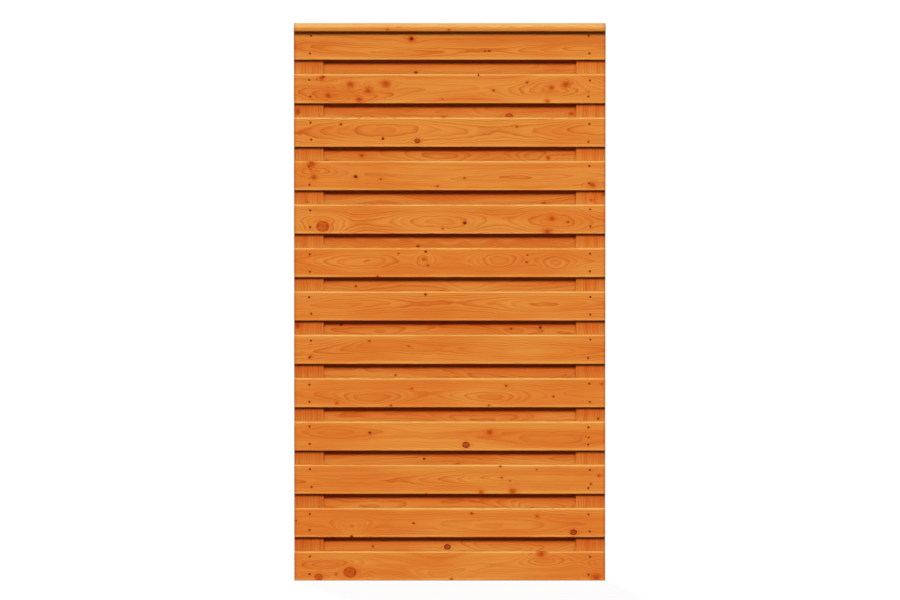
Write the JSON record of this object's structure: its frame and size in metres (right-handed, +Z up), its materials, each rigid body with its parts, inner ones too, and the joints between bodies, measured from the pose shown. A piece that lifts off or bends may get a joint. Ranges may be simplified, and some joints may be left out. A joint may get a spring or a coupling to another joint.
{
  "type": "slatted privacy fence panel",
  "caption": "Hit-and-miss privacy fence panel: rows of horizontal boards on both sides of two uprights, staggered to close the view, under a flat cap plank.",
  "frame": {"origin": "foot of the left upright, on its flat outer edge, in the middle of the panel's thickness", "axes": "+X along the boards to the right, +Y to the back, +Z up; the front with the higher row of boards faces -Y"},
  "size_m": [1, 0.095, 1.8],
  "materials": {
    "stained_wood": "satin",
    "screw_steel": "satin"
  },
  "bodies": {
    "root": {"front_board_01": "stained_wood", "front_board_02": "stained_wood", "front_board_03": "stained_wood", "front_board_04": "stained_wood", "front_board_05": "stained_wood", "front_board_06": "stained_wood", "front_board_07": "stained_wood", "front_board_08": "stained_wood", "front_board_09": "stained_wood", "front_board_10": "stained_wood", "front_board_11": "stained_wood", "front_board_12": "stained_wood", "front_board_13": "stained_wood", "back_board_01": "stained_wood", "back_board_02": "stained_wood", "back_board_03": "stained_wood", "back_board_04": "stained_wood", "back_board_05": "stained_wood", "back_board_06": "stained_wood", "back_board_07": "stained_wood", "back_board_08": "stained_wood", "back_board_09": "stained_wood", "back_board_10": "stained_wood", "back_board_11": "stained_wood", "back_board_12": "stained_wood", "left_upright": "stained_wood", "right_upright": "stained_wood", "top_cap": "stained_wood"}
  },
  "joints": []
}
